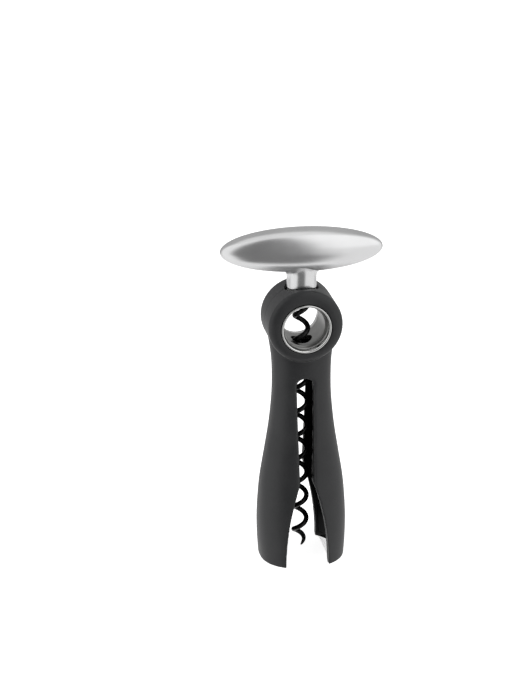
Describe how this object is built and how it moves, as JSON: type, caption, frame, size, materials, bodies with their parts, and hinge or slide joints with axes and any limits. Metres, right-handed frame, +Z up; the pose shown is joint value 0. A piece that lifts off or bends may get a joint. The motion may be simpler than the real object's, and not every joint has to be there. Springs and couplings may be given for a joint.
{
  "type": "corkscrew",
  "caption": "Self-pulling T-handle corkscrew: a two-legged body that stands over a bottle neck, a round window in its head, and a turning handle that carries a coiled worm.",
  "frame": {"origin": "middle of the footprint, on the surface that the two legs stand on", "axes": "+Z up along the worm's axis, X along the handle and from leg to leg, the window and slots run through along Y"},
  "size_m": [0.0866, 0.0396, 0.191],
  "materials": {
    "soft_touch": "matt soft-touch lacquer over moulded plastic",
    "black_nylon": "moulded black nylon",
    "gloss_black": "glossy black",
    "polished_steel": "polished",
    "satin_steel": "turned, satin",
    "satin_aluminium": "satin",
    "coated_steel": "smooth black low-friction coating"
  },
  "bodies": {
    "body": {"frame_fork": "black_nylon", "shell_front": "soft_touch", "shell_back": "soft_touch", "neck_guide_left": "gloss_black", "neck_guide_right": "gloss_black", "worm_guide_bush": "black_nylon", "window_ring_front": "polished_steel", "window_sleeve": "satin_steel", "window_ring_back": "polished_steel", "thrust_seat": "satin_steel"},
    "washer": {"thrust_washer": "satin_steel"},
    "handle_and_worm": {"handle": "satin_aluminium", "worm_plug": "satin_steel", "worm": "coated_steel"}
  },
  "joints": [
    {"name": "lift", "type": "slide", "parent": "body", "child": "washer", "axis": [0, 0, 1], "range_m": [0, 0.05]},
    {"name": "turn", "type": "hinge", "parent": "washer", "child": "handle_and_worm", "pos_m": [0, 0, 0.157], "axis": [0, 0, 1], "continuous": true}
  ]
}
